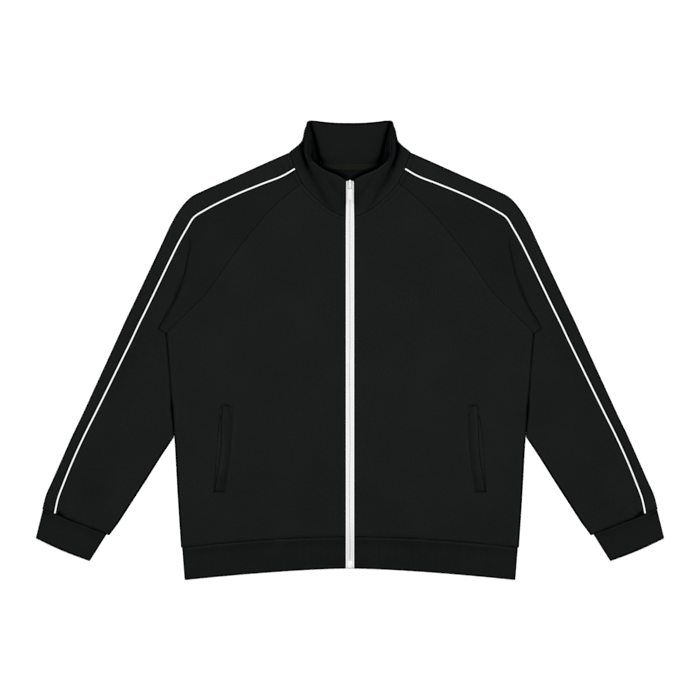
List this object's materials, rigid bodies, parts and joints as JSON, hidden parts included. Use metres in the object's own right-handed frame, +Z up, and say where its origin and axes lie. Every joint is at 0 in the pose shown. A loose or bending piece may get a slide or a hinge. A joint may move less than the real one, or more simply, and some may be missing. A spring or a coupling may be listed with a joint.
{
  "type": "track jacket",
  "caption": "Zipped track jacket laid flat on its back, with a stand collar, raglan sleeves with white piping, slanted welt pockets and a zip with a hinged pull tab.",
  "frame": {"origin": "under the middle of the laid shape, on the surface it lies on", "axes": "+Z up, out of the front; +Y towards the collar; +X towards the wearer's left sleeve"},
  "size_m": [1.0334, 0.7538, 0.029],
  "materials": {
    "cloth": "matte smooth double knit",
    "band": "matte knit folded double",
    "piping": "matte woven tape over a cord",
    "zip_tape": "matte woven tape",
    "neck_tape": "matte herringbone tape",
    "zip_parts": "smooth, slightly satin"
  },
  "bodies": {
    "garment": {"back": "cloth", "front_left": "cloth", "front_right": "cloth", "sleeve_front_left": "cloth", "sleeve_front_right": "cloth", "sleeve_back_left": "cloth", "sleeve_back_right": "cloth", "piping_left": "piping", "piping_right": "piping", "collar": "band", "neck_tape": "neck_tape", "cuff_left": "band", "cuff_right": "band", "hem_band": "band", "pocket_welt_left": "cloth", "pocket_welt_right": "cloth", "zip_tape_left": "zip_tape", "zip_tape_right": "zip_tape", "zip_slider": "zip_parts", "zip_box": "zip_parts"},
    "pull_tab": {"zip_pull": "zip_parts"}
  },
  "joints": [
    {"name": "pull_hinge", "type": "hinge", "parent": "garment", "child": "pull_tab", "pos_m": [0, 0.27111, 0.01517], "axis": [-1, 0, 0], "range_deg": [0, 180]}
  ]
}
